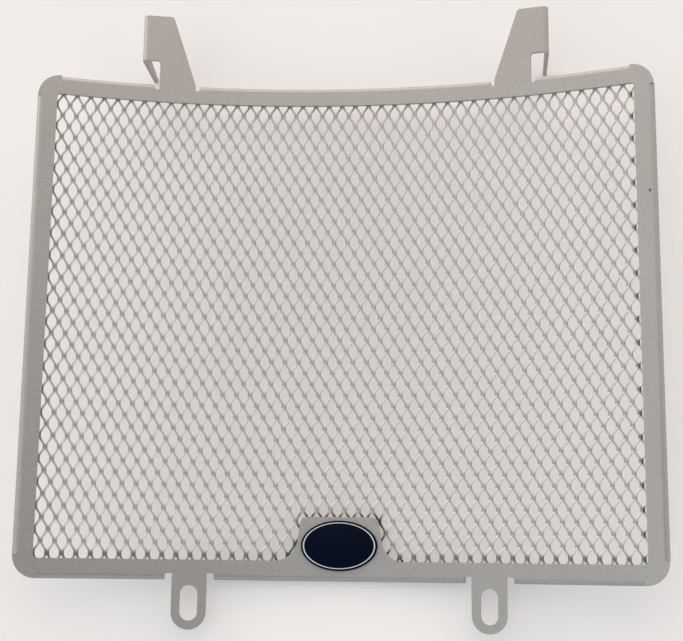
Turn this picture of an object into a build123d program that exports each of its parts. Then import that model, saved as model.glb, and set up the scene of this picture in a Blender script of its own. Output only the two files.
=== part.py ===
from build123d import *
import math
import os

# A radiator guard for a motorcycle: an expanded metal mesh clamped in a folded sheet frame.
# The panel is rolled about its upright axis, hollow side to the front.
# It lies front face up, as it comes to rest: +X to the right, +Y to the hooks, +Z up.
# Sizes are in millimetres. Widths across the panel are measured round the roll.

# Panel
PANEL_WIDTH = 336.8
PANEL_HEIGHT = 268.7
ROLL_RADIUS = 446.0
CORNER_RADIUS = 12.0
BORDER = 10.3
WINDOW_CORNER_RADIUS = 1.7
SHEET = 2.0

# Folded edges of the frame, with the mesh clamped inside
HEM_RETURN = 8.5
TAB_RELIEF_WIDTH = 3.7
HOOK_RELIEF_WIDTH = 2.4
RELIEF_DEPTH = 3.3
RELIEF_RADIUS = 1.1

# Mesh: the real diamonds are 7.3 by 12 mm, and these are 3.7 times as large
MESH_THICKNESS = 1.5
MESH_CLEARANCE = 0.1
MESH_INSET = 4.2
DIAMOND_SHORT = 27.0
DIAMOND_LONG = 44.4
STRAND = 4.4

# Upper hooks: a tapered arm with its outer edge folded back past square, drawn in to a claw
HOOK_REACH = 112.8
HOOK_HEIGHT = 39.5
HOOK_TOP_WIDTH = 16.3
HOOK_BASE_WIDTH = 29.5
HOOK_FINGER = 9.6
HOOK_GAP = 13.5
HOOK_DEPTH = 35.9
HOOK_TOP_RADIUS = 2.0
HOOK_GAP_RADIUS = 1.5
FOLD_INSIDE_RADIUS = 1.0
FOLD_ANGLE = 102.5
FLANGE_DEPTH = 10.0
CLAW_WIDTH = 6.6
CLAW_TIP_WIDTH = 2.4
CLAW_ROOT_RADIUS = 4.0
CLAW_TIP_RADIUS = 0.9

# Lower tabs, slotted for a screw
TAB_SPACING = 156.0
TAB_WIDTH = 18.0
TAB_LENGTH = 25.1
SLOT_WIDTH = 9.0
SLOT_LENGTH = 18.0

# Plate at the bottom middle, and the oval badge on it
PLATE_HEIGHT = 33.0
PLATE_TOP_WIDTH = 40.2
PLATE_BASE_WIDTH = 46.8
PLATE_CORNER_RADIUS = 4.0
PLATE_FLARE_RADIUS = 12.0
BADGE_WIDTH = 40.2
BADGE_HEIGHT = 25.9
BADGE_THICKNESS = 1.8
BADGE_BEVEL = 0.9
BADGE_RISE = 18.25
ADHESIVE = 0.1

# Levels over the middle of the mesh, positive to the front
FRONT_BACK = MESH_THICKNESS / 2 + MESH_CLEARANCE
FRONT_FACE = FRONT_BACK + SHEET
BADGE_BACK = FRONT_FACE + ADHESIVE
BADGE_FACE = BADGE_BACK + BADGE_THICKNESS

# Places on the panel, from its middle
HALF_WIDTH = PANEL_WIDTH / 2
HALF_HEIGHT = PANEL_HEIGHT / 2
CORNER_ARC = HALF_WIDTH - CORNER_RADIUS
CORNER_HEIGHT = HALF_HEIGHT - CORNER_RADIUS
FOLD_ARC = HALF_WIDTH - FRONT_FACE
FOLD_HEIGHT = HALF_HEIGHT - FRONT_FACE
RELIEF_HEIGHT = HALF_HEIGHT - RELIEF_DEPTH
WINDOW_HEIGHT = HALF_HEIGHT - BORDER
TAB_ARC = TAB_SPACING / 2
TAB_END = HALF_HEIGHT + TAB_LENGTH
HOOK_INNER_ARC = HOOK_REACH - HOOK_BASE_WIDTH
HOOK_GAP_ARC = HOOK_REACH - HOOK_FINGER
HOOK_FOLD_ARC = HOOK_REACH - FOLD_INSIDE_RADIUS - SHEET
HOOK_GAP_HEIGHT = HALF_HEIGHT + HOOK_GAP
HOOK_TOP = HALF_HEIGHT + HOOK_HEIGHT
BADGE_MIDDLE = BADGE_RISE - HALF_HEIGHT

# What a cut runs past the sheet
OVERRUN = 5.0

# Turning about this axis moves things round the roll towards +X
ROLL_AXIS = Axis((0, 0, ROLL_RADIUS), (0, -1, 0))


def turn(arc):
    """Degrees round the roll for a distance across the panel."""
    return math.degrees(arc / ROLL_RADIUS)


def rolled(arcs, heights, levels):
    """A block of the rolled panel between two arcs, two heights and two levels."""
    section = Rectangle(heights[1] - heights[0], levels[1] - levels[0])
    section = Plane.YZ * Pos(sum(heights) / 2, sum(levels) / 2) * section
    block = revolve(section, ROLL_AXIS, turn(arcs[1] - arcs[0]))
    return block.rotate(ROLL_AXIS, turn(arcs[0]))


def rounded(block, radius):
    """A rolled block with its four corners rounded, as seen from the front."""
    corners = block.edges().filter_by(GeomType.LINE).group_by(SortBy.LENGTH)[0]
    return fillet(corners, radius)


def punch(outline, arc):
    """An outline drawn flat, set square to the roll at an arc and run through the sheet."""
    return extrude(outline, BADGE_FACE + OVERRUN, both=True).rotate(ROLL_AXIS, turn(arc))


def both_sides(shape):
    """The shape and its mirror image across the middle of the panel."""
    return [shape, mirror(shape, Plane.YZ)]


def fold_section():
    """Half a ring: the fold of a hem about the origin, with the panel's edge towards +X."""
    ring = Circle(FRONT_FACE) - Circle(FRONT_BACK)
    return ring & Pos(FRONT_FACE / 2, 0) * Rectangle(FRONT_FACE, 2 * FRONT_FACE)


def level_hem(arcs):
    """A hem along the top edge between two arcs: the fold and the leg behind the mesh."""
    section = Plane.YZ * Pos(FOLD_HEIGHT, 0) * fold_section()
    fold = revolve(section, ROLL_AXIS, turn(arcs[1] - arcs[0])).rotate(ROLL_AXIS, turn(arcs[0]))
    leg = rolled(arcs, (HALF_HEIGHT - HEM_RETURN, FOLD_HEIGHT), (-FRONT_FACE, -FRONT_BACK))
    return fold + leg


def upright_hem():
    """The hem along the right edge, between the round corners."""
    fold = extrude(Plane.XZ * fold_section(), CORNER_HEIGHT, both=True)
    heights = (-CORNER_HEIGHT, CORNER_HEIGHT)
    leg = rolled((HALF_WIDTH - HEM_RETURN, FOLD_ARC), heights, (-FRONT_FACE, -FRONT_BACK))
    return fold.rotate(ROLL_AXIS, turn(FOLD_ARC)) + leg


def hook_pocket_arcs():
    """The stretch of the top edge, right of the middle, that the hook and its reliefs take up."""
    return HOOK_INNER_ARC - HOOK_RELIEF_WIDTH, HOOK_GAP_ARC + HOOK_RELIEF_WIDTH


def tab_pocket_arcs():
    """The stretch of the bottom edge, right of the middle, that the tab and its reliefs take up."""
    half = TAB_WIDTH / 2 + TAB_RELIEF_WIDTH
    return TAB_ARC - half, TAB_ARC + half


def pocket(arcs):
    """A cut in the top edge with round inner corners, from which a hook or tab stands."""
    width = arcs[1] - arcs[0]
    depth = RELIEF_DEPTH + OVERRUN
    outline = Pos(0, RELIEF_HEIGHT + depth / 2) * Rectangle(width, depth)
    outline = fillet(outline.vertices().group_by(Axis.Y)[0], RELIEF_RADIUS)
    return punch(outline, sum(arcs) / 2)


def edge_cuts(arcs):
    """What is cut from the top edge of the flat front: the pocket, and the folded stretches."""
    through = (FRONT_BACK - OVERRUN, FRONT_FACE + OVERRUN)
    heights = (FOLD_HEIGHT, HALF_HEIGHT + OVERRUN)
    into_pocket = RELIEF_RADIUS
    cuts = [pocket(arcs)]
    cuts.append(rolled((0, arcs[0] + into_pocket), heights, through))
    cuts.append(rolled((arcs[1] - into_pocket, CORNER_ARC), heights, through))
    return cuts


def plate_outline():
    """The plate's outline, flared into the bottom border."""
    foot = -HALF_HEIGHT + BORDER / 2
    top = PLATE_HEIGHT - HALF_HEIGHT
    half_top = PLATE_TOP_WIDTH / 2
    half_base = PLATE_BASE_WIDTH / 2
    outer = half_base + 2 * PLATE_FLARE_RADIUS
    right = [(outer, foot), (outer, -WINDOW_HEIGHT), (half_base, -WINDOW_HEIGHT), (half_top, top)]
    left = [(-x, y) for x, y in reversed(right)]
    outline = make_face(Polyline(*right, *left, close=True))
    flares = [v for v in outline.vertices() if abs(abs(v.X) - half_base) < abs(abs(v.X) - outer)]
    flares = [v for v in flares if v.Y < (top - WINDOW_HEIGHT) / 2]
    outline = fillet(flares, PLATE_FLARE_RADIUS)
    return fillet(outline.vertices().group_by(Axis.Y)[-1], PLATE_CORNER_RADIUS)


def front_border():
    """The flat front of the frame with its window, cut back where its edges fold."""
    through = (FRONT_BACK - OVERRUN, FRONT_FACE + OVERRUN)
    blank = rolled((-HALF_WIDTH, HALF_WIDTH), (-HALF_HEIGHT, HALF_HEIGHT), (FRONT_BACK, FRONT_FACE))
    half_opening = HALF_WIDTH - BORDER
    window = rolled((-half_opening, half_opening), (-WINDOW_HEIGHT, WINDOW_HEIGHT), through)
    window = rounded(window, WINDOW_CORNER_RADIUS) - punch(plate_outline(), 0)
    cuts = [window]
    for cut in edge_cuts(hook_pocket_arcs()):
        cuts += both_sides(cut)
    for cut in edge_cuts(tab_pocket_arcs()):
        cuts += both_sides(mirror(cut, Plane.XZ))
    side_arcs = (FOLD_ARC, HALF_WIDTH + OVERRUN)
    cuts += both_sides(rolled(side_arcs, (-CORNER_HEIGHT, CORNER_HEIGHT), through))
    return rounded(blank, CORNER_RADIUS) - cuts


def hook_arm():
    """The right hook's arm, cut from the rolled sheet."""
    middle = (HOOK_INNER_ARC + HOOK_FOLD_ARC) / 2
    inner = HOOK_INNER_ARC - middle
    finger = HOOK_GAP_ARC - middle
    fold = HOOK_FOLD_ARC - middle
    top = HOOK_REACH - HOOK_TOP_WIDTH - middle
    past_fold = fold + OVERRUN
    outline = make_face(Polyline(
        (inner, RELIEF_HEIGHT), (inner, HALF_HEIGHT), (top, HOOK_TOP), (past_fold, HOOK_TOP),
        (past_fold, HOOK_GAP_HEIGHT), (finger, HOOK_GAP_HEIGHT), (finger, RELIEF_HEIGHT), close=True))
    top_corner = outline.vertices().sort_by_distance((top, HOOK_TOP))[0]
    outline = fillet(top_corner, HOOK_TOP_RADIUS)
    gap_corner = outline.vertices().sort_by_distance((finger, HOOK_GAP_HEIGHT))[0]
    outline = fillet(gap_corner, HOOK_GAP_RADIUS)
    heights = (RELIEF_HEIGHT, HOOK_TOP)
    blank = rolled((HOOK_INNER_ARC - OVERRUN, HOOK_FOLD_ARC), heights, (FRONT_BACK, FRONT_FACE))
    return blank & punch(outline, middle)


def claw_outline():
    """The flange as seen from its side: full height at the bend, then a claw along its lower edge."""
    root = FRONT_FACE - FLANGE_DEPTH
    tip = FRONT_FACE - HOOK_DEPTH
    root_corner = (HOOK_GAP_HEIGHT + CLAW_WIDTH, root)
    tip_corner = (HOOK_GAP_HEIGHT + CLAW_TIP_WIDTH, tip)
    outline = make_face(Polyline(
        (HOOK_GAP_HEIGHT, FRONT_FACE), (HOOK_TOP, FRONT_FACE), (HOOK_TOP, root), root_corner,
        tip_corner, (HOOK_GAP_HEIGHT, tip), close=True))
    outline = fillet(outline.vertices().sort_by_distance(root_corner)[0], CLAW_ROOT_RADIUS)
    return fillet(outline.vertices().sort_by_distance(tip_corner)[0], CLAW_TIP_RADIUS)


def hook_flange():
    """The right hook's folded edge: a bend and a flat leg cut to a claw, standing above the gap."""
    outside_radius = FOLD_INSIDE_RADIUS + SHEET
    past_square = math.radians(FOLD_ANGLE - 90)
    bend_depth = outside_radius * (1 + math.sin(past_square))
    length = (HOOK_DEPTH - bend_depth) / math.cos(past_square)
    ring = Circle(outside_radius) - Circle(FOLD_INSIDE_RADIUS)
    outer_half = Pos(outside_radius, 0) * Rectangle(2 * outside_radius, 4 * outside_radius)
    lean = Rot(0, 0, 90 - FOLD_ANGLE)
    above_lean = lean * Pos(0, outside_radius) * Rectangle(4 * outside_radius, 2 * outside_radius)
    leg = lean * Pos(FOLD_INSIDE_RADIUS + SHEET / 2, -length / 2) * Rectangle(SHEET, length)
    section = (ring & outer_half & above_lean) + leg
    section = Plane.XZ * Pos(0, FRONT_BACK - FOLD_INSIDE_RADIUS) * section
    flange = Pos(0, HOOK_TOP, 0) * extrude(section, HOOK_HEIGHT - HOOK_GAP)
    flange &= extrude(Plane.YZ * claw_outline(), HOOK_DEPTH, both=True)
    return flange.rotate(ROLL_AXIS, turn(HOOK_FOLD_ARC))


def tab():
    """The right lower tab: a flat tongue with a round end and a slot, on the chord of the roll."""
    half = TAB_WIDTH / 2
    end_centre = half - TAB_END
    straight = -RELIEF_HEIGHT - end_centre
    outline = Pos(0, end_centre + straight / 2) * Rectangle(TAB_WIDTH, straight)
    outline += Pos(0, end_centre) * Circle(half)
    slot_middle = end_centre + (SLOT_LENGTH - SLOT_WIDTH) / 2
    outline -= Pos(0, slot_middle) * Rot(0, 0, 90) * SlotOverall(SLOT_LENGTH, SLOT_WIDTH)
    chord_level = half ** 2 / (4 * ROLL_RADIUS)
    tongue = Pos(0, 0, FRONT_BACK + chord_level) * extrude(outline, SHEET)
    return tongue.rotate(ROLL_AXIS, turn(TAB_ARC))


def frame():
    """The frame: one sheet, with its hems, hooks, tabs and badge plate."""
    pieces = both_sides(upright_hem()) + both_sides(hook_arm()) + both_sides(hook_flange())
    pieces += both_sides(tab())
    for arcs, bottom in ((hook_pocket_arcs(), False), (tab_pocket_arcs(), True)):
        inner, outer = arcs
        hems = [level_hem((-inner, inner))] + both_sides(level_hem((outer, CORNER_ARC)))
        pieces += [mirror(hem, Plane.XZ) for hem in hems] if bottom else hems
    return front_border() + pieces


def on_roll(arc, level):
    """Where a point of the rolled panel lies, across it and to the front."""
    radius = ROLL_RADIUS - level
    angle = arc / ROLL_RADIUS
    return radius * math.sin(angle), ROLL_RADIUS - radius * math.cos(angle)


def mesh_sheet(half_width, half_height):
    """The mesh before it is opened: a rolled sheet, flat from one column of bonds to the next."""
    spacing = DIAMOND_SHORT / 2
    columns = math.ceil(half_width / spacing) - 1
    arcs = [-half_width, *(column * spacing for column in range(-columns, columns + 1)), half_width]
    front = [on_roll(arc, MESH_THICKNESS / 2) for arc in arcs]
    back = [on_roll(arc, -MESH_THICKNESS / 2) for arc in reversed(arcs)]
    section = make_face(Polyline(*front, *back, close=True))
    return extrude(Plane.XZ * section, half_height, both=True)


def mesh_panel():
    """The mesh: a sheet opened into upright diamonds with straight strands, cut off at its edges."""
    half_width = HALF_WIDTH - MESH_INSET
    half_height = HALF_HEIGHT - MESH_INSET
    half_short = DIAMOND_SHORT / 2
    half_long = DIAMOND_LONG / 2
    middle_to_side = half_short * half_long / math.hypot(half_short, half_long)
    share_open = 1 - STRAND / 2 / middle_to_side
    tip = half_long * share_open
    side = half_short * share_open
    diamond = make_face(Polyline((0, tip), (side, 0), (0, -tip), (-side, 0), close=True))
    opening = extrude(diamond, 2 * MESH_THICKNESS, both=True)
    columns = math.ceil(half_width / half_short)
    rows = math.ceil(half_height / half_long)
    openings = []
    for column in range(-columns, columns + 1):
        for row in range(-rows, rows + 1):
            if (column + row) % 2 == 0:
                upright = Pos(0, row * half_long, 0) * opening
                openings.append(upright.rotate(ROLL_AXIS, turn(column * half_short)))
    return mesh_sheet(half_width, half_height) - openings


def badge():
    """The badge: an oval with a bevelled front edge, shaped to the roll of the plate."""
    heights = (BADGE_MIDDLE - BADGE_HEIGHT, BADGE_MIDDLE + BADGE_HEIGHT)
    slab = rolled((-BADGE_WIDTH, BADGE_WIDTH), heights, (BADGE_BACK, BADGE_FACE))
    oval = Pos(0, BADGE_MIDDLE) * Ellipse(BADGE_WIDTH / 2, BADGE_HEIGHT / 2)
    disc = slab & punch(oval, 0)
    front = disc.faces().sort_by(Axis.Z)[-1]
    return chamfer(front.edges(), BADGE_BEVEL)


def lying(frame_shape):
    """The place where the guard comes to rest: on the bottom hem and on the hooks' tips."""
    tip_level = frame_shape.bounding_box().min.Z
    reach = HOOK_GAP_HEIGHT + FOLD_HEIGHT
    tilt = math.atan2(-tip_level, reach) - math.asin(FRONT_FACE / math.hypot(reach, tip_level))
    turned = Rot(math.degrees(tilt), 0, 0)
    box = (turned * frame_shape).bounding_box()
    return Pos(0, -box.center().Y, -box.min.Z) * turned


guard_frame = frame()
place = lying(guard_frame)
os.makedirs("parts", exist_ok=True)
export_step(place * guard_frame, "parts/frame.step")
export_step(place * mesh_panel(), "parts/mesh_panel.step")
export_step(place * badge(), "parts/badge.step")
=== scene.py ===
import bmesh
import bpy
import math
from bpy.props import FloatProperty, FloatVectorProperty, IntProperty, PointerProperty
from mathutils import Matrix, Vector


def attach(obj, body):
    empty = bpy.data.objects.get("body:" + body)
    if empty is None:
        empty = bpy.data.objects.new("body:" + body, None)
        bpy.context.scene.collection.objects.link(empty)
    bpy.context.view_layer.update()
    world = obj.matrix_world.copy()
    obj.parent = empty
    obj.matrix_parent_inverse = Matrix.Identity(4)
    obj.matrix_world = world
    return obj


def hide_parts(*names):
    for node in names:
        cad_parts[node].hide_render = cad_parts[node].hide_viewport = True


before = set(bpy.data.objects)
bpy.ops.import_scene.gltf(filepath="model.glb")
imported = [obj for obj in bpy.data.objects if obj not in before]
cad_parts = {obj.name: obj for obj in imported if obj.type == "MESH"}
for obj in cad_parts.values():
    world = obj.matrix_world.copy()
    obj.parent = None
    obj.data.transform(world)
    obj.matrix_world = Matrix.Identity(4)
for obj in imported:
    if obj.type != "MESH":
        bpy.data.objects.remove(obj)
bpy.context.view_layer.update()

bl_info = {
    "name": "Radiator guard",
    "version": (1, 0, 0),
    "blender": (4, 5, 0),
    "location": "3D View > Sidebar > Guard",
    "description": "Dresses a rolled radiator guard: soft-edged frame, expanded mesh, badge and stage",
    "category": "Object",
}

MM = 0.001

# How the CAD rolls the panel and lays it down: front up, on the hooks' tips and the bottom hem
ROLL_RADIUS = 446.0 * MM
LYING_TILT = math.radians(3.44884)
PANEL_MIDDLE = Vector((0.0, -6.70428, 10.76068)) * MM

# The front face of the frame, over the middle of the mesh
FRONT_LEVEL = 2.85 * MM

# Half the window in the frame, round the roll and upright
WINDOW_HALF_WIDTH = 158.1 * MM
WINDOW_HALF_HEIGHT = 124.05 * MM

# The plate that stands up from the window's bottom edge: its half widths, its top and its flare
PLATE_HALF_BASE = 23.4 * MM
PLATE_HALF_TOP = 20.1 * MM
PLATE_TOP = -101.35 * MM
PLATE_FLARE = 12.0 * MM
PLATE_FLARE_POWER = 3.0

# The powder coat: scales and detail of its noise, its pebbled surface, and its range of roughness
FLAKE_SCALE = 1500.0
FLAKE_DETAIL = 3.0
FLAKE_SPAN = (0.3, 0.7)
DRIFT_SCALE = 28.0
PEBBLE_SCALE = 900.0
PEBBLE_STRENGTH = 0.25
PEBBLE_HEIGHT = 0.05 * MM
COAT_ROUGHNESS = (0.40, 0.52)
NOISE_MIDDLE = 0.5

# The frame's coat, and its chip: how ragged it is, its soft edge in shares of its radius, and its colour
FRAME_METALLIC = 0.6
FRAME_DRIFT = 0.10
CHIP_RAGGED_SCALE = 1200.0
CHIP_EDGE = (0.4, 1.2)
CHIP_COLOUR = (0.085, 0.085, 0.085, 1.0)

# The mesh's coat, from the strands to the painted glints at the slit ends and to the painted shade by the
# frame
MESH_FLAKE = 0.30
MESH_DRIFT = 0.08
MESH_METALLIC = 0.35
GLINT_METALLIC = 1.0
MESH_SPECULAR = 0.5
CREVICE_SPECULAR = 0.1
BLACK = (0.0, 0.0, 0.0, 1.0)

# Where the painted glints at the slit ends begin and where they are full, as x less y
LOWER_RIGHT = (-60 * MM, 200 * MM)

# The part of a strip's two rows that is a slit's upper end
SLIT_END = (0.75, 0.92)

# A bond begins and is full so far from a strand's middle, in rows
BOND_SPAN = (0.2, 0.5)

# By each side of the window: the reach of the painted shade where the strands go under the frame, and its
# strength at the bonds and elsewhere
CREVICE_SHADES = {
    "left": ("Crevice left", 0.4, 0.4),
    "right": ("Crevice right", 1.0, 0.0),
    "bottom": ("Crevice bottom", 0.66, 0.4),
    "plate": ("Crevice plate", 0.9, 0.9),
}

# The share of its reach in which the painted shade is full, and the least of a bond that takes a bond's
# strength
CREVICE_FULL = 0.4
CREVICE_BOND = 0.45

# The badge: its rings and points, its fine line as shares of the oval, and its resin
DOME_RINGS = 14
EDGE_RINGS = 6
BADGE_AROUND = 128
KEYLINE_INNER = (0.885, 0.895)
KEYLINE_OUTER = (0.915, 0.925)
CLOUD_SCALE = 260.0
CLOUD_DETAIL = 4.0
CLOUD_SPAN = (0.3, 0.8)
DEEP_RESIN = 0.75
BADGE_ROUGHNESS = (0.06, 0.16)
BADGE_SPECULAR = 0.04

# How the frame's edges are rounded, and which edges of the mesh stay crisp
WELD_DISTANCE = 0.001 * MM
FLAT_ANGLE = math.radians(0.3)
CUT_EDGE_ANGLE = math.radians(40)
EDGE_SEGMENTS = 3
CREASE_ANGLE = math.radians(50)

# The cloth on the floor
FLOOR_HALF = 3.0
BROAD_SCALE = 5.0
BROAD_SHADE = 0.965
WEAVE_SCALE = 2200.0
WEAVE_DETAIL = 1.0
WEAVE_STRENGTH = 0.15
WEAVE_HEIGHT = 0.1 * MM
CLOTH_ROUGHNESS = 0.95
CLOTH_SPECULAR = 0.1

# The light: directions seen from the guard, and the spans over which each part of it sets in
UP = (0.0, 0.0, 1.0)
FAR_SIDE = (0.0, 1.0, 0.0)
FAR_PLACE = (-0.15, 0.93, 0.3)
FAR_SPAN = (0.2, 0.9)
FAR_TOP = (0.38, 0.6)
SHADE_SPAN = (0.8, 0.98)
OVERHEAD_SPAN = (0.85, 0.99)
TINT_SPAN = (-0.3, 0.45)
WINDOW_PLACE = (-1.36, 0.72, 0.45)
WINDOW_TARGET = (0.0, 0.0, 0.0)
WINDOW_SIZE = 0.6

SENSOR_WIDTH = 36.0


def lying():
    """The turn and shift from the panel's own frame to where it lies."""
    return Matrix.Translation(PANEL_MIDDLE) @ Matrix.Rotation(LYING_TILT, 4, "X")


def on_panel(arc, height, level):
    """A point of the lying panel: round the roll, up the panel, and out to the front."""
    radius = ROLL_RADIUS - level
    angle = arc / ROLL_RADIUS
    flat = Vector((radius * math.sin(angle), height, ROLL_RADIUS - radius * math.cos(angle)))
    return lying() @ flat


# Sizes and colours that a user would change

class GuardFrameLook(bpy.types.PropertyGroup):
    """The folded sheet frame."""
    edge_radius: FloatProperty(
        name="Edge radius", description="Round on the cut edges of the sheet, left by the coat",
        default=0.7 * MM, unit="LENGTH", precision=5)
    coat: FloatVectorProperty(
        name="Coat", description="Colour of the powder coat on frame and mesh",
        default=(0.382, 0.353, 0.331), size=3, subtype="COLOR", min=0.0, max=1.0)
    flake: FloatProperty(
        name="Flake", description="Contrast of the fine flake in the coat",
        default=0.75, subtype="FACTOR", min=0.0, max=1.0)
    chip: FloatVectorProperty(
        name="Chip", description="Place of the one chip in the coat, round the roll and up the panel",
        default=(164.9 * MM, 64.9 * MM), size=2, unit="LENGTH", precision=5)
    chip_radius: FloatProperty(
        name="Chip radius", description="Size of the chip in the coat",
        default=0.95 * MM, unit="LENGTH", precision=5)


class GuardMeshLook(bpy.types.PropertyGroup):
    """The expanded mesh in the frame."""
    short_way: FloatProperty(
        name="Short way", description="From bond to bond across the diamonds",
        default=7.3 * MM, unit="LENGTH", precision=5)
    long_way: FloatProperty(
        name="Long way", description="From bond to bond up the diamonds",
        default=12.0 * MM, unit="LENGTH", precision=5)
    strand_width: FloatProperty(
        name="Strand width", description="Width of a strand, half of a bond's",
        default=1.3 * MM, unit="LENGTH", precision=5)
    strand_thickness: FloatProperty(
        name="Strand thickness", description="Thickness of the sheet that the mesh was slit from",
        default=0.55 * MM, unit="LENGTH", precision=5)
    strand_tilt: FloatProperty(
        name="Strand tilt", description="Turn of the strands out of the panel, right edge forward",
        default=math.radians(29), subtype="ANGLE")
    pressed: FloatProperty(
        name="Pressed", description="How much of the strands' rise is left where the frame clamps them",
        default=0.4, subtype="FACTOR", min=0.0, max=1.0)
    bond_share: FloatProperty(
        name="Bond share", description="Half of a bond's length, as a share of half the long way",
        default=0.17, subtype="FACTOR", min=0.0, max=0.45)
    strand_curve: FloatProperty(
        name="Strand curve",
        description="From straight strands, 0, to strands that sweep into the bonds, 1",
        default=0.3, subtype="FACTOR", min=0.0, max=1.0)
    # Painted light: the strands take the frame's coat made lighter, to make up for how they are lit
    tone: FloatVectorProperty(
        name="Tone",
        description="How light the coat is on the strands, against the frame's, in each colour",
        default=(1.42, 1.40, 1.44), size=3, min=0.0)
    strips: IntProperty(name="Strips", description="Upright strips side by side", default=89, min=2)
    rows: IntProperty(
        name="Rows", description="Half diamonds in the height of a strip", default=43, min=2)
    rings: IntProperty(name="Rings", description="Cuts along each strand", default=6, min=2)
    shift: FloatVectorProperty(
        name="Shift", description="The mesh's middle from the panel's, round the roll and up",
        default=(0.41 * MM, 1.65 * MM), size=2, unit="LENGTH", precision=5)
    # Painted shade: the strands are coloured dark where they go under the frame, in place of the shadow
    # there
    crevice_shade: FloatVectorProperty(
        name="Crevice", description="Colour of the strands where they go under the frame",
        default=(0.045, 0.045, 0.058), size=3, subtype="COLOR", min=0.0, max=1.0)
    crevice_reach: FloatVectorProperty(
        name="Crevice reach",
        description="How far the dark reaches into the window: left, right, bottom, plate",
        default=(1.3 * MM, 3.9 * MM, 5.4 * MM, 3.2 * MM), size=4, unit="LENGTH", precision=5)
    # The painted shade at the bonds fades out towards the window's top
    top_reach: FloatProperty(
        name="Top reach",
        description="How far below the window's top the bonds are lighter than elsewhere",
        default=4.0 * MM, unit="LENGTH", precision=5)
    # Painted shade: the bonds are coloured darker than the strands
    painted_bond_shade: FloatProperty(
        name="Bond shade", description="How much darker the bonds are than the strands",
        default=0.44, subtype="FACTOR", min=0.0, max=1.0)
    # Painted highlight: the colour of the glints painted on the slits' upper ends, stronger towards the
    # lower right
    painted_glint: FloatVectorProperty(
        name="Bright end",
        description="Colour of the slits' upper ends, which are bright towards the lower right",
        default=(0.85, 0.85, 0.84), size=3, subtype="COLOR", min=0.0, max=1.0)


class GuardBadgeLook(bpy.types.PropertyGroup):
    """The plain oval badge on the bottom plate."""
    width: FloatProperty(name="Width", description="Across the oval", default=40.2 * MM, unit="LENGTH")
    height: FloatProperty(name="Height", description="Up the oval", default=25.9 * MM, unit="LENGTH")
    middle: FloatProperty(
        name="Middle", description="Its middle, up from the panel's",
        default=-116.1 * MM, unit="LENGTH", precision=5)
    back_level: FloatProperty(
        name="Back level", description="Its back, out from the middle of the mesh",
        default=2.95 * MM, unit="LENGTH", precision=5)
    face_level: FloatProperty(
        name="Face level", description="The top of its dome, out from the middle of the mesh",
        default=4.75 * MM, unit="LENGTH", precision=5)
    dome: FloatProperty(
        name="Dome", description="Rise of the resin from the edge to the middle",
        default=0.35 * MM, unit="LENGTH", precision=5)
    edge_radius: FloatProperty(
        name="Edge radius", description="Round of the resin's edge",
        default=0.9 * MM, unit="LENGTH", precision=5)
    resin: FloatVectorProperty(
        name="Resin", description="Colour under the clear resin",
        default=(0.0015, 0.004, 0.0145), size=3, subtype="COLOR", min=0.0, max=1.0)
    keyline: FloatVectorProperty(
        name="Keyline", description="Colour of the fine line inside the edge",
        default=(0.62, 0.62, 0.63), size=3, subtype="COLOR", min=0.0, max=1.0)


class GuardStageLook(bpy.types.PropertyGroup):
    """Floor, light and camera."""
    floor: FloatVectorProperty(
        name="Floor", description="Colour of the pale cloth",
        default=(0.885, 0.835, 0.814), size=3, subtype="COLOR", min=0.0, max=1.0)
    glow: FloatVectorProperty(
        name="Glow",
        description="The even tone that the camera sees in the cloth, besides its light and shadow",
        default=(0.865, 0.834, 0.822), size=3, subtype="COLOR", min=0.0, max=1.0)
    glow_share: FloatProperty(
        name="Glow share", description="How much of the cloth's look is the even tone",
        default=0.3, subtype="FACTOR", min=0.0, max=1.0)
    walls: FloatProperty(
        name="Walls", description="Strength of the light from all round", default=1.05, min=0.0)
    far: FloatProperty(
        name="Far", description="Added strength of the low light from the far side", default=1.8, min=0.0)
    overhead: FloatProperty(
        name="Overhead", description="Added strength of the light from above", default=0.6, min=0.0)
    overhead_place: FloatVectorProperty(
        name="Overhead place", description="Direction of the light from above, seen from the guard",
        default=(0.08, 0.42, 0.9), size=3, subtype="XYZ", precision=5)
    near_tint: FloatVectorProperty(
        name="Near tint", description="Colour of the light from the near side",
        default=(0.74, 0.885, 1.0), size=3, subtype="COLOR", min=0.0, max=1.0)
    far_tint: FloatVectorProperty(
        name="Far tint", description="Colour of the light from the far side",
        default=(1.0, 0.935, 0.855), size=3, subtype="COLOR", min=0.0, max=1.0)
    shade: FloatProperty(
        name="Shade", description="Strength of the light from behind the camera", default=0.08, min=0.0)
    shade_place: FloatVectorProperty(
        name="Shade place", description="Direction of the dim part behind the camera, seen from the guard",
        default=(0.34, -0.3, 0.89), size=3, subtype="XYZ", precision=5)
    window: FloatProperty(
        name="Window", description="Power of the low lamp on the left", default=2.6, unit="POWER")
    camera_place: FloatVectorProperty(
        name="Camera place", description="Where the camera stands",
        default=(0.05828, -0.1732, 0.69112), size=3, subtype="TRANSLATION", unit="LENGTH", precision=5)
    camera_forward: FloatVectorProperty(
        name="Camera forward", description="Where the camera looks",
        default=(-0.0835, 0.24172, -0.96686), size=3, subtype="XYZ", precision=5)
    camera_up: FloatVectorProperty(
        name="Camera up", description="Which way is up in the picture",
        default=(0.0036, 0.97016, 0.24224), size=3, subtype="XYZ", precision=5)
    camera_lens: FloatProperty(
        name="Lens", description="Focal length on a 36 mm wide sensor", default=68.84, unit="CAMERA")


# Node trees

def set_input(tree, socket, value):
    """Link a socket to a node's result, or give it a plain value."""
    if isinstance(value, bpy.types.NodeSocket):
        tree.links.new(value, socket)
    else:
        socket.default_value = value


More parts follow.
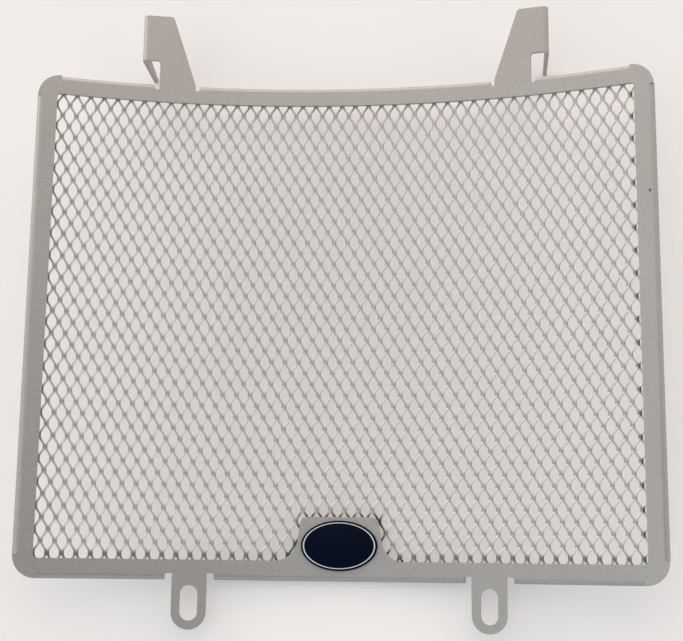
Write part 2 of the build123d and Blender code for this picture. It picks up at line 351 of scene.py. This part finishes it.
def put(tree, kind, inputs=None, **settings):
    """A node with its settings and its inputs, which are named or numbered."""
    node = tree.nodes.new(kind)
    for name, value in settings.items():
        setattr(node, name, value)
    for key, value in (inputs or {}).items():
        set_input(tree, node.inputs[key], value)
    return node


def calc(tree, operation, *values):
    """The result of a Math node on numbers or on other nodes' results."""
    return put(tree, "ShaderNodeMath", dict(enumerate(values)), operation=operation).outputs[0]


def combine(tree, *parts):
    """A vector of three numbers or results."""
    return put(tree, "ShaderNodeCombineXYZ", dict(enumerate(parts))).outputs[0]


def separate(tree, vector):
    """The three parts of a vector."""
    return put(tree, "ShaderNodeSeparateXYZ", {0: vector}).outputs


def remap(tree, value, low, high, to_low=0.0, to_high=1.0, kind="LINEAR"):
    """A value brought from one range to another, held at its ends."""
    inputs = {"Value": value, "From Min": low, "From Max": high, "To Min": to_low, "To Max": to_high}
    return put(tree, "ShaderNodeMapRange", inputs, interpolation_type=kind, clamp=True).outputs[0]


def blend(tree, share, first, second, mode="MIX"):
    """Two colours mixed."""
    node = put(tree, "ShaderNodeMix", data_type="RGBA", blend_type=mode, clamp_result=True)
    colours = [socket for socket in node.inputs if socket.type == "RGBA"]
    set_input(tree, node.inputs[0], share)
    set_input(tree, colours[0], first)
    set_input(tree, colours[1], second)
    return next(socket for socket in node.outputs if socket.type == "RGBA")


def noise(tree, place, scale, detail=2.0):
    """Noise between 0 and 1."""
    inputs = {"Vector": place, "Scale": scale, "Detail": detail}
    return put(tree, "ShaderNodeTexNoise", inputs).outputs[0]


def opaque(colour):
    """A colour with full alpha, as colour sockets take it."""
    return (*colour, 1.0)


# Shared shader groups

def new_group(name, sockets_in, sockets_out):
    """An empty shader group with its named sockets, and its input and output nodes."""
    group = bpy.data.node_groups.new(name, "ShaderNodeTree")
    for socket, kind in sockets_in:
        group.interface.new_socket(socket, in_out="INPUT", socket_type=kind)
    for socket, kind in sockets_out:
        group.interface.new_socket(socket, in_out="OUTPUT", socket_type=kind)
    return group, group.nodes.new("NodeGroupInput").outputs, group.nodes.new("NodeGroupOutput").inputs


def coat_group():
    """Powder coat: fine metal flake in the colour, a slow drift in tone, and a pebbled surface."""
    if "Powder coat" in bpy.data.node_groups:
        return bpy.data.node_groups["Powder coat"]
    group, given, out = new_group(
        "Powder coat",
        [("Coat", "NodeSocketColor"), ("Flake", "NodeSocketFloat"), ("Drift", "NodeSocketFloat")],
        [("Color", "NodeSocketColor"), ("Roughness", "NodeSocketFloat"), ("Height", "NodeSocketFloat")])
    place = group.nodes.new("ShaderNodeTexCoord").outputs["Object"]
    flake = noise(group, place, FLAKE_SCALE, FLAKE_DETAIL)
    drift = noise(group, place, DRIFT_SCALE)
    pebble = noise(group, place, PEBBLE_SCALE)
    fine = calc(group, "SUBTRACT", flake, NOISE_MIDDLE)
    tone = calc(group, "MULTIPLY_ADD", fine, given["Flake"], 1.0)
    slow = calc(group, "MULTIPLY", calc(group, "SUBTRACT", drift, NOISE_MIDDLE), given["Drift"])
    tone = calc(group, "ADD", tone, slow)
    grey = combine(group, tone, tone, tone)
    set_input(group, out["Color"], blend(group, 1.0, given["Coat"], grey, "MULTIPLY"))
    set_input(group, out["Roughness"], remap(group, flake, *FLAKE_SPAN, *COAT_ROUGHNESS))
    set_input(group, out["Height"], pebble)
    return group


# Materials

def new_material(name):
    """A material with its tree and its Principled shader."""
    material = bpy.data.materials.new(name)
    material.use_nodes = True
    tree = material.node_tree
    return material, tree, tree.nodes["Principled BSDF"]


def coat_nodes(tree, shader, coat, flake, drift):
    """The powder coat placed in a material; returns its colour for the material to finish."""
    node = put(tree, "ShaderNodeGroup", node_tree=coat_group())
    for name, value in (("Coat", opaque(coat)), ("Flake", flake), ("Drift", drift)):
        set_input(tree, node.inputs[name], value)
    bump = put(tree, "ShaderNodeBump", {
        "Strength": PEBBLE_STRENGTH, "Distance": PEBBLE_HEIGHT, "Height": node.outputs["Height"]})
    set_input(tree, shader.inputs["Normal"], bump.outputs[0])
    set_input(tree, shader.inputs["Roughness"], node.outputs["Roughness"])
    return node.outputs["Color"]


def frame_material(look):
    """Silver powder coat with one small chip down to dark metal."""
    material, tree, shader = new_material("frame_coat")
    colour = coat_nodes(tree, shader, look.coat, look.flake, FRAME_DRIFT)
    place = tree.nodes.new("ShaderNodeTexCoord").outputs["Object"]
    ragged = calc(tree, "SUBTRACT", noise(tree, place, CHIP_RAGGED_SCALE), NOISE_MIDDLE)
    spot = tuple(on_panel(*look.chip, FRONT_LEVEL))
    away = put(tree, "ShaderNodeVectorMath", {0: place, 1: spot}, operation="DISTANCE").outputs["Value"]
    away = calc(tree, "MULTIPLY_ADD", ragged, look.chip_radius, away)
    core, rim = (share * look.chip_radius for share in CHIP_EDGE)
    chip = remap(tree, away, core, rim, 1.0, 0.0)
    set_input(tree, shader.inputs["Base Color"], blend(tree, chip, colour, CHIP_COLOUR))
    shader.inputs["Metallic"].default_value = FRAME_METALLIC
    return material


def mesh_material(coat, look):
    """The same coat on the strands, painted lighter than the frame's, with painted shade at the bonds and
    by the frame, and painted glints at the slits' ends.
    """
    material, tree, shader = new_material("mesh_coat")
    # Painted light: the coat on the strands is made lighter than the same coat on the frame
    painted_lighter_coat = tuple(min(1.0, tone * part) for tone, part in zip(look.tone, coat))
    colour = coat_nodes(tree, shader, painted_lighter_coat, MESH_FLAKE, MESH_DRIFT)
    # Painted shade: the bonds are coloured darker than the strands
    bond = put(tree, "ShaderNodeAttribute", attribute_name="bond").outputs["Fac"]
    colour = blend(tree, calc(tree, "MULTIPLY", bond, look.painted_bond_shade), colour, BLACK)
    x, y, _ = separate(tree, tree.nodes.new("ShaderNodeTexCoord").outputs["Object"])
    lower_right = remap(tree, calc(tree, "SUBTRACT", x, y), *LOWER_RIGHT)
    # Painted highlight: the slits' upper ends are coloured bright and made fully metallic towards the
    # lower right, in place of glints
    slit_end = put(tree, "ShaderNodeAttribute", attribute_name="slit_end").outputs["Fac"]
    glint_share = calc(tree, "MULTIPLY", slit_end, lower_right)
    colour = blend(tree, glint_share, colour, opaque(look.painted_glint))
    set_input(tree, shader.inputs["Metallic"], remap(tree, glint_share, 0.0, 1.0, MESH_METALLIC, GLINT_METALLIC))
    # Painted shade: the strands are coloured dark and less shiny where they go under the frame
    crevice_shade = put(tree, "ShaderNodeAttribute", attribute_name="crevice_shade").outputs["Fac"]
    set_input(tree, shader.inputs["Base Color"], blend(tree, crevice_shade, colour, opaque(look.crevice_shade)))
    gloss = remap(tree, crevice_shade, 0.0, 1.0, MESH_SPECULAR, CREVICE_SPECULAR)
    set_input(tree, shader.inputs["Specular IOR Level"], gloss)
    return material


def badge_material(look):
    """Dark glossy resin, with a fine pale line inside the edge and faint handling marks."""
    material, tree, shader = new_material("badge_resin")
    radial = put(tree, "ShaderNodeAttribute", attribute_name="radial").outputs["Fac"]
    inner = remap(tree, radial, *KEYLINE_INNER)
    outer = remap(tree, radial, *KEYLINE_OUTER, 1.0, 0.0)
    line = calc(tree, "MULTIPLY", inner, outer)
    place = tree.nodes.new("ShaderNodeTexCoord").outputs["Object"]
    cloud = noise(tree, place, CLOUD_SCALE, CLOUD_DETAIL)
    deep = tuple(DEEP_RESIN * part for part in look.resin)
    resin = blend(tree, cloud, opaque(deep), opaque(look.resin))
    set_input(tree, shader.inputs["Base Color"], blend(tree, line, resin, opaque(look.keyline)))
    set_input(tree, shader.inputs["Roughness"], remap(tree, cloud, *CLOUD_SPAN, *BADGE_ROUGHNESS))
    shader.inputs["Specular IOR Level"].default_value = BADGE_SPECULAR
    return material


def floor_material(look):
    """Pale woven cloth, seen from above only, so that the underside of the guard can be looked at."""
    material, tree, shader = new_material("floor_cloth")
    place = tree.nodes.new("ShaderNodeTexCoord").outputs["Object"]
    broad = noise(tree, place, BROAD_SCALE)
    weave = noise(tree, place, WEAVE_SCALE, WEAVE_DETAIL)
    shaded = tuple(BROAD_SHADE * part for part in look.floor)
    set_input(tree, shader.inputs["Base Color"], blend(tree, broad, opaque(shaded), opaque(look.floor)))
    bump = put(tree, "ShaderNodeBump", {
        "Strength": WEAVE_STRENGTH, "Distance": WEAVE_HEIGHT, "Height": weave})
    set_input(tree, shader.inputs["Normal"], bump.outputs[0])
    shader.inputs["Roughness"].default_value = CLOTH_ROUGHNESS
    shader.inputs["Specular IOR Level"].default_value = CLOTH_SPECULAR
    ray = tree.nodes.new("ShaderNodeLightPath").outputs
    seen = calc(tree, "MAXIMUM", ray["Is Camera Ray"], ray["Is Glossy Ray"])
    seen = calc(tree, "MAXIMUM", seen, ray["Is Transmission Ray"])
    share = calc(tree, "MULTIPLY", seen, look.glow_share)
    glow = put(tree, "ShaderNodeEmission", {"Color": opaque(look.glow)}).outputs[0]
    cloth = put(tree, "ShaderNodeMixShader", {0: share, 1: shader.outputs[0], 2: glow}).outputs[0]
    below = tree.nodes.new("ShaderNodeNewGeometry").outputs["Backfacing"]
    clear = tree.nodes.new("ShaderNodeBsdfTransparent").outputs[0]
    sides = put(tree, "ShaderNodeMixShader", {0: below, 1: cloth, 2: clear})
    set_input(tree, tree.nodes["Material Output"].inputs["Surface"], sides.outputs[0])
    return material


# Pieces

def link_new(name, mesh):
    """A new object for a mesh, at the origin, in the scene."""
    piece = bpy.data.objects.new(name, mesh)
    bpy.context.scene.collection.objects.link(piece)
    return piece


def bake_modifiers(piece):
    """The piece's modifiers turned into a plain mesh."""
    depsgraph = bpy.context.evaluated_depsgraph_get()
    result = bpy.data.meshes.new_from_object(piece.evaluated_get(depsgraph))
    piece.modifiers.clear()
    piece.data = result
    result.name = piece.name


def hand_over(piece, node, material):
    """The finished piece takes a CAD node's place, with its material and slot."""
    piece.data.materials.clear()
    piece.data.materials.append(material)
    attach(piece, "root")
    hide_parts(node)


def soft_edged_copy(node, name, radius):
    """A copy of a CAD node with its triangles joined up and its cut edges rounded."""
    shape = bmesh.new()
    shape.from_mesh(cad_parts[node].data)
    bmesh.ops.remove_doubles(shape, verts=shape.verts, dist=WELD_DISTANCE)
    bmesh.ops.dissolve_limit(shape, angle_limit=FLAT_ANGLE, verts=shape.verts, edges=shape.edges)
    for face in shape.faces:
        face.smooth = True
    mesh = bpy.data.meshes.new(name)
    shape.to_mesh(mesh)
    shape.free()
    piece = link_new(name, mesh)
    soften = piece.modifiers.new("Soft edges", "BEVEL")
    soften.width = radius
    soften.segments = EDGE_SEGMENTS
    soften.limit_method = "ANGLE"
    soften.angle_limit = CUT_EDGE_ANGLE
    flatten = piece.modifiers.new("Flat faces stay flat", "WEIGHTED_NORMAL")
    flatten.mode = "FACE_AREA"
    bake_modifiers(piece)
    return piece


def mesh_tree():
    """The tree that makes the mesh: upright zigzag strips side by side, then rolled and laid down."""
    tree = bpy.data.node_groups.new("Expanded mesh", "GeometryNodeTree")
    lengths = ["Short way", "Long way", "Strand width", "Strand thickness", "Shift across", "Shift up"]
    lengths += ["Roll radius", "Window half width", "Window half height"]
    lengths += ["Plate half base", "Plate half top", "Plate top", "Plate flare"]
    lengths += ["Crevice left", "Crevice right", "Crevice bottom", "Crevice plate", "Crevice top"]
    numbers = ["Strand tilt", "Bond share", "Strand curve", "Lying tilt", "Pressed"]
    for name in lengths + numbers:
        tree.interface.new_socket(name, in_out="INPUT", socket_type="NodeSocketFloat")
    for name in ("Strips", "Rows", "Rings"):
        tree.interface.new_socket(name, in_out="INPUT", socket_type="NodeSocketInt")
    tree.interface.new_socket("Panel middle", in_out="INPUT", socket_type="NodeSocketVector")
    tree.interface.new_socket("Material", in_out="INPUT", socket_type="NodeSocketMaterial")
    tree.interface.new_socket("Mesh", in_out="OUTPUT", socket_type="NodeSocketGeometry")
    size = tree.nodes.new("NodeGroupInput").outputs
    half_short = calc(tree, "MULTIPLY", size["Short way"], 0.5)

    every_second = calc(tree, "MULTIPLY", size["Strips"], 0.5)
    start = calc(tree, "MULTIPLY", calc(tree, "MULTIPLY", size["Strips"], half_short), -0.5)
    start = calc(tree, "ADD", start, size["Shift across"])
    join = tree.nodes.new("GeometryNodeJoinGeometry")
    for phase, rounding in ((0.0, "CEIL"), (1.0, "FLOOR")):
        count = calc(tree, rounding, every_second)
        first = calc(tree, "MULTIPLY_ADD", half_short, phase, start)
        line = put(tree, "GeometryNodeMeshLine", {
            "Count": count, "Start Location": combine(tree, first, size["Shift up"], 0.0),
            "Offset": combine(tree, size["Short way"], 0.0, 0.0)})
        strips = put(tree, "GeometryNodeInstanceOnPoints", {
            "Points": line.outputs["Mesh"], "Instance": zigzag_strip(tree, size, half_short, phase)})
        tree.links.new(strips.outputs["Instances"], join.inputs[0])
    realize = put(tree, "GeometryNodeRealizeInstances", {"Geometry": join.outputs[0]})
    away = from_frame(tree, size)
    marked = paint_crevice_shade(tree, size, away, realize.outputs[0])
    pressed = press_flat(tree, size, away, marked)
    rolled = roll_up(tree, size, pressed)
    laid = put(tree, "GeometryNodeTransform", {
        "Geometry": rolled, "Translation": size["Panel middle"],
        "Rotation": combine(tree, size["Lying tilt"], 0.0, 0.0)})
    angle = put(tree, "GeometryNodeInputMeshEdgeAngle").outputs["Unsigned Angle"]
    sharp = calc(tree, "GREATER_THAN", angle, CREASE_ANGLE)
    smooth = put(tree, "GeometryNodeSetShadeSmooth", {
        "Geometry": laid.outputs[0], "Shade Smooth": True}, domain="FACE")
    creased = put(tree, "GeometryNodeSetShadeSmooth", {
        "Geometry": smooth.outputs[0], "Selection": sharp, "Shade Smooth": False}, domain="EDGE")
    coated = put(tree, "GeometryNodeSetMaterial", {
        "Geometry": creased.outputs[0], "Material": size["Material"]})
    out = tree.nodes.new("NodeGroupOutput")
    tree.links.new(coated.outputs[0], out.inputs[0])
    return tree


def zigzag_strip(tree, size, half_short, phase):
    """One strip: a long bar that swings between two columns of bonds, turned out of the panel."""
    half_long = calc(tree, "MULTIPLY", size["Long way"], 0.5)
    length = calc(tree, "MULTIPLY", size["Rows"], half_long)
    rings = calc(tree, "MULTIPLY_ADD", size["Rows"], size["Rings"], 1.0)
    bar = put(tree, "GeometryNodeMeshCube", {
        "Size": combine(tree, size["Strand width"], length, size["Strand thickness"]),
        "Vertices X": 2, "Vertices Y": rings, "Vertices Z": 2})
    x, y, z = separate(tree, tree.nodes.new("GeometryNodeInputPosition").outputs[0])
    rows_up = calc(tree, "DIVIDE", calc(tree, "MULTIPLY_ADD", length, 0.5, y), half_long)
    swing = calc(tree, "PINGPONG", calc(tree, "ADD", rows_up, phase), 1.0)
    bond_end = calc(tree, "SUBTRACT", 1.0, size["Bond share"])
    straight = remap(tree, swing, size["Bond share"], bond_end)
    swept = remap(tree, swing, size["Bond share"], bond_end, kind="SMOOTHSTEP")
    bend = calc(tree, "MULTIPLY", calc(tree, "SUBTRACT", swept, straight), size["Strand curve"])
    across = calc(tree, "ADD", straight, bend)
    half_strand = calc(tree, "MULTIPLY", size["Strand width"], 0.5)
    side = calc(tree, "MULTIPLY_ADD", across, -2.0, 1.0)
    along = calc(tree, "MULTIPLY_ADD", side, half_strand, x)
    lean = calc(tree, "COSINE", size["Strand tilt"])
    rise = calc(tree, "SINE", size["Strand tilt"])
    new_x = calc(tree, "MULTIPLY_ADD", along, lean, calc(tree, "MULTIPLY", half_short, across))
    new_x = calc(tree, "SUBTRACT", new_x, calc(tree, "MULTIPLY", z, rise))
    new_z = calc(tree, "MULTIPLY_ADD", along, rise, calc(tree, "MULTIPLY", z, lean))
    from_middle = calc(tree, "ABSOLUTE", calc(tree, "SUBTRACT", swing, 0.5))
    # Where the bonds are, which the material paints darker
    near_bond = remap(tree, from_middle, *BOND_SPAN)
    marked = store(tree, bar.outputs["Mesh"], "bond", near_bond)
    marked = store(tree, marked, "slit_end", slit_end(tree, calc(tree, "ADD", rows_up, phase), x))
    bent = put(tree, "GeometryNodeSetPosition", {
        "Geometry": marked, "Position": combine(tree, new_x, y, new_z)})
    return bent.outputs[0]


def slit_end(tree, rows_up, x):
    """Whether a point is on the edge of a strip at the upper end of the opening to its right, where a
    glint is painted.
    """
    turn = calc(tree, "MODULO", rows_up, 2.0)
    low = calc(tree, "GREATER_THAN", turn, SLIT_END[0])
    high = calc(tree, "LESS_THAN", turn, SLIT_END[1])
    right = calc(tree, "GREATER_THAN", x, 0.0)
    return calc(tree, "MULTIPLY", calc(tree, "MULTIPLY", low, high), right)


def from_frame(tree, size):
    """How far a point of the flat mesh is from each edge of the window and from the plate."""
    x, y, _ = separate(tree, tree.nodes.new("GeometryNodeInputPosition").outputs[0])
    away_bottom = calc(tree, "ADD", size["Window half height"], y)
    plate_foot = calc(tree, "MULTIPLY", size["Window half height"], -1.0)
    plate_half = remap(
        tree, y, plate_foot, size["Plate top"], size["Plate half base"], size["Plate half top"])
    flare = calc(tree, "SUBTRACT", 1.0, calc(tree, "DIVIDE", away_bottom, size["Plate flare"]))
    flare = calc(tree, "POWER", calc(tree, "MAXIMUM", flare, 0.0), PLATE_FLARE_POWER)
    plate_half = calc(tree, "MULTIPLY_ADD", flare, size["Plate flare"], plate_half)
    from_plate_side = calc(tree, "SUBTRACT", calc(tree, "ABSOLUTE", x), plate_half)
    from_plate_top = calc(tree, "SUBTRACT", y, size["Plate top"])
    return {
        "left": calc(tree, "ADD", size["Window half width"], x),
        "right": calc(tree, "SUBTRACT", size["Window half width"], x),
        "bottom": away_bottom,
        "top": calc(tree, "SUBTRACT", size["Window half height"], y),
        "plate": calc(tree, "MAXIMUM", from_plate_side, from_plate_top)}


def store(tree, geometry, name, value):
    """A value kept on the mesh's points for a material."""
    node = put(tree, "GeometryNodeStoreNamedAttribute", {
        "Geometry": geometry, "Name": name, "Value": value}, data_type="FLOAT", domain="POINT")
    return node.outputs[0]


def paint_crevice_shade(tree, size, away, geometry):
    """How dark the strands are by the frame, and how dark their bonds are, kept for the material: both are
    painted shade.
    """
    kept = put(tree, "GeometryNodeInputNamedAttribute", {"Name": "bond"}, data_type="FLOAT")
    bond = kept.outputs["Attribute"]
    dark = 0.0
    for side, (reach, at_bonds, elsewhere) in CREVICE_SHADES.items():
        share = calc(tree, "DIVIDE", away[side], size[reach])
        near = remap(tree, share, CREVICE_FULL, 1.0, 1.0, 0.0)
        strength = remap(tree, bond, 0.0, CREVICE_BOND, elsewhere, at_bonds)
        dark = calc(tree, "MAXIMUM", dark, calc(tree, "MULTIPLY", near, strength))
    marked = store(tree, geometry, "crevice_shade", dark)
    # The painted shade at the bonds fades out below the window's top
    below_top = remap(tree, away["top"], 0.0, size["Crevice top"])
    return store(tree, marked, "bond", calc(tree, "MULTIPLY", bond, below_top))


def press_flat(tree, size, away, geometry):
    """The strands pressed flatter towards the frame and the plate, which clamp them."""
    nearest = away["top"]
    for side in ("left", "right", "bottom", "plate"):
        nearest = calc(tree, "MINIMUM", nearest, away[side])
    kept = remap(tree, nearest, 0.0, size["Short way"], size["Pressed"], 1.0)
    x, y, z = separate(tree, tree.nodes.new("GeometryNodeInputPosition").outputs[0])
    flatter = put(tree, "GeometryNodeSetPosition", {
        "Geometry": geometry, "Position": combine(tree, x, y, calc(tree, "MULTIPLY", z, kept))})
    return flatter.outputs[0]


def roll_up(tree, size, geometry):
    """The flat mesh bent round the roll, hollow side to the front."""
    x, y, z = separate(tree, tree.nodes.new("GeometryNodeInputPosition").outputs[0])
    angle = calc(tree, "DIVIDE", x, size["Roll radius"])
    radius = calc(tree, "SUBTRACT", size["Roll radius"], z)
    new_x = calc(tree, "MULTIPLY", radius, calc(tree, "SINE", angle))
    drop = calc(tree, "MULTIPLY", radius, calc(tree, "COSINE", angle))
    new_z = calc(tree, "SUBTRACT", size["Roll radius"], drop)
    rolled = put(tree, "GeometryNodeSetPosition", {
        "Geometry": geometry, "Position": combine(tree, new_x, y, new_z)})
    return rolled.outputs[0]


def expanded_mesh(look, material):
    """The mesh at its true pitch, made by its tree and turned into a plain mesh."""
    piece = link_new("expanded_mesh", bpy.data.meshes.new("expanded_mesh"))
    tree = mesh_tree()
    values = {
        "Short way": look.short_way, "Long way": look.long_way, "Strand width": look.strand_width,
        "Strand thickness": look.strand_thickness, "Strand tilt": look.strand_tilt,
        "Bond share": look.bond_share, "Strand curve": look.strand_curve,
        "Shift across": look.shift[0], "Shift up": look.shift[1],
        "Strips": look.strips, "Rows": look.rows, "Rings": look.rings,
        "Roll radius": ROLL_RADIUS, "Lying tilt": LYING_TILT, "Panel middle": PANEL_MIDDLE,
        "Window half width": WINDOW_HALF_WIDTH, "Window half height": WINDOW_HALF_HEIGHT,
        "Plate half base": PLATE_HALF_BASE, "Plate half top": PLATE_HALF_TOP, "Plate top": PLATE_TOP,
        "Plate flare": PLATE_FLARE,
        "Crevice left": look.crevice_reach[0], "Crevice right": look.crevice_reach[1],
        "Crevice bottom": look.crevice_reach[2], "Crevice plate": look.crevice_reach[3],
        "Crevice top": look.top_reach,
        "Pressed": look.pressed, "Material": material}
    modifier = piece.modifiers.new("Expanded mesh", "NODES")
    modifier.node_group = tree
    for item in tree.interface.items_tree:
        if item.in_out == "INPUT":
            modifier[item.identifier] = values[item.name]
    bake_modifiers(piece)
    return piece


def badge_profile(look):
    """Rings from the badge's middle to its back edge: inset from the rim, share of the oval, level."""
    shoulder = look.face_level - look.dome
    rings = []
    for step in range(1, DOME_RINGS + 1):
        share = step / DOME_RINGS
        rings.append((look.edge_radius, share, look.face_level - look.dome * share ** 2))
    for step in range(1, EDGE_RINGS + 1):
        angle = math.pi / 2 * step / EDGE_RINGS
        inset = look.edge_radius * (1 - math.sin(angle))
        rings.append((inset, 1.0, shoulder - look.edge_radius * (1 - math.cos(angle))))
    rings.append((0.0, 1.0, look.back_level))
    return rings


def domed_badge(look):
    """A plain oval of resin with a low dome, shaped to the roll of its plate."""
    shape = bmesh.new()
    radial = shape.verts.layers.float.new("radial")
    last = None
    top = shape.verts.new(on_panel(0.0, look.middle, look.face_level))
    for inset, share, level in badge_profile(look):
        ring = []
        for step in range(BADGE_AROUND):
            angle = 2 * math.pi * step / BADGE_AROUND
            arc = share * (look.width / 2 - inset) * math.cos(angle)
            height = look.middle + share * (look.height / 2 - inset) * math.sin(angle)
            vertex = shape.verts.new(on_panel(arc, height, level))
            vertex[radial] = share * (1 - inset / (look.height / 2))
            ring.append(vertex)
        for step in range(BADGE_AROUND):
            after = (step + 1) % BADGE_AROUND
            if last is None:
                shape.faces.new((top, ring[step], ring[after]))
            else:
                shape.faces.new((last[step], ring[step], ring[after], last[after]))
        last = ring
    shape.faces.new(list(reversed(last)))
    for face in shape.faces:
        face.smooth = len(face.verts) < BADGE_AROUND
    mesh = bpy.data.meshes.new("badge_dome")
    shape.to_mesh(mesh)
    shape.free()
    return link_new("badge_dome", mesh)


# Stage

def add_floor(look):
    """A wide floor at the height that the guard lies on."""
    shape = bmesh.new()
    bmesh.ops.create_grid(shape, x_segments=1, y_segments=1, size=FLOOR_HALF)
    mesh = bpy.data.meshes.new("floor")
    shape.to_mesh(mesh)
    shape.free()
    floor = link_new("floor", mesh)
    mesh.materials.append(floor_material(look))


def add_lamp(name, place, target, size, power):
    """A square soft lamp aimed at a point."""
    lamp = bpy.data.lights.new(name, "AREA")
    lamp.size = size
    lamp.energy = power
    holder = bpy.data.objects.new(name, lamp)
    holder.location = place
    holder.rotation_euler = (Vector(target) - Vector(place)).to_track_quat("-Z", "Y").to_euler()
    bpy.context.scene.collection.objects.link(holder)


def add_sky(look):
    """Soft light from all round, strongest from the far side and weak behind the camera."""
    world = bpy.data.worlds.new("soft_room")
    world.use_nodes = True
    tree = world.node_tree
    direction = tree.nodes.new("ShaderNodeTexCoord").outputs["Generated"]

    def towards(place):
        """How nearly a ray points to a place: the cosine of the angle between them."""
        goal = tuple(Vector(place).normalized())
        inputs = {0: direction, 1: goal}
        return put(tree, "ShaderNodeVectorMath", inputs, operation="DOT_PRODUCT").outputs["Value"]

    walls = remap(tree, towards(look.shade_place), *SHADE_SPAN, look.walls, look.shade, "SMOOTHSTEP")
    far = remap(tree, towards(FAR_PLACE), *FAR_SPAN, 0.0, look.far, "SMOOTHSTEP")
    far = calc(tree, "MULTIPLY", far, remap(tree, towards(UP), *FAR_TOP, 1.0, 0.0))
    overhead = remap(
        tree, towards(look.overhead_place), *OVERHEAD_SPAN, 0.0, look.overhead, "SMOOTHSTEP")
    far_share = remap(tree, towards(FAR_SIDE), *TINT_SPAN)
    tint = blend(tree, far_share, opaque(look.near_tint), opaque(look.far_tint))
    back = tree.nodes["Background"]
    set_input(tree, back.inputs["Color"], tint)
    set_input(tree, back.inputs["Strength"], calc(tree, "ADD", calc(tree, "ADD", walls, far), overhead))
    bpy.context.scene.world = world


def add_camera(look):
    """The camera where the photograph was taken from."""
    camera = bpy.data.cameras.new("camera")
    camera.sensor_width = SENSOR_WIDTH
    camera.lens = look.camera_lens
    forward = Vector(look.camera_forward).normalized()
    right = forward.cross(Vector(look.camera_up)).normalized()
    up = right.cross(forward)
    holder = bpy.data.objects.new("camera", camera)
    turn = Matrix((right, up, -forward)).transposed().to_4x4()
    holder.matrix_world = Matrix.Translation(Vector(look.camera_place)) @ turn
    bpy.context.scene.collection.objects.link(holder)
    bpy.context.scene.camera = holder


# Operators

class GUARD_OT_frame(bpy.types.Operator):
    """Rounds the frame's edges and coats it"""
    bl_idname = "guard.frame"
    bl_label = "Finish the frame"

    def execute(self, context):
        look = context.scene.guard_frame
        piece = soft_edged_copy("frame", "sheet_frame", look.edge_radius)
        hand_over(piece, "frame", frame_material(look))
        return {"FINISHED"}


class GUARD_OT_mesh(bpy.types.Operator):
    """Fills the frame with expanded mesh at its true pitch"""
    bl_idname = "guard.mesh"
    bl_label = "Fit the mesh"

    def execute(self, context):
        look = context.scene.guard_mesh
        material = mesh_material(context.scene.guard_frame.coat, look)
        piece = expanded_mesh(look, material)
        hand_over(piece, "mesh_panel", material)
        return {"FINISHED"}


class GUARD_OT_badge(bpy.types.Operator):
    """Sets the plain domed badge on its plate"""
    bl_idname = "guard.badge"
    bl_label = "Set the badge"

    def execute(self, context):
        look = context.scene.guard_badge
        hand_over(domed_badge(look), "badge", badge_material(look))
        return {"FINISHED"}


class GUARD_OT_stage(bpy.types.Operator):
    """Adds the floor, the light and the camera"""
    bl_idname = "guard.stage"
    bl_label = "Set the stage"

    def execute(self, context):
        look = context.scene.guard_stage
        add_floor(look)
        add_sky(look)
        add_lamp("window", WINDOW_PLACE, WINDOW_TARGET, WINDOW_SIZE, look.window)
        add_camera(look)
        context.scene.view_settings.view_transform = "Standard"
        return {"FINISHED"}


class GUARD_PT_panel(bpy.types.Panel):
    """Lists the guard's operators and their sizes"""
    bl_idname = "GUARD_PT_panel"
    bl_label = "Radiator guard"
    bl_space_type = "VIEW_3D"
    bl_region_type = "UI"
    bl_category = "Guard"

    def draw(self, context):
        for operator, look in zip(OPERATORS, LOOKS):
            column = self.layout.column()
            column.operator(operator.bl_idname)
            settings = getattr(context.scene, LOOKS[look])
            for name in look.__annotations__:
                column.prop(settings, name)


OPERATORS = (GUARD_OT_frame, GUARD_OT_mesh, GUARD_OT_badge, GUARD_OT_stage)
LOOKS = {
    GuardFrameLook: "guard_frame",
    GuardMeshLook: "guard_mesh",
    GuardBadgeLook: "guard_badge",
    GuardStageLook: "guard_stage",
}
CLASSES = (*LOOKS, *OPERATORS, GUARD_PT_panel)


def register():
    for cls in CLASSES:
        bpy.utils.register_class(cls)
    for look, name in LOOKS.items():
        setattr(bpy.types.Scene, name, PointerProperty(type=look))


def unregister():
    for name in LOOKS.values():
        delattr(bpy.types.Scene, name)
    for cls in reversed(CLASSES):
        bpy.utils.unregister_class(cls)


def main():
    register()
    bpy.ops.guard.frame()
    bpy.ops.guard.mesh()
    bpy.ops.guard.badge()
    bpy.ops.guard.stage()


if __name__ == "__main__":
    main()
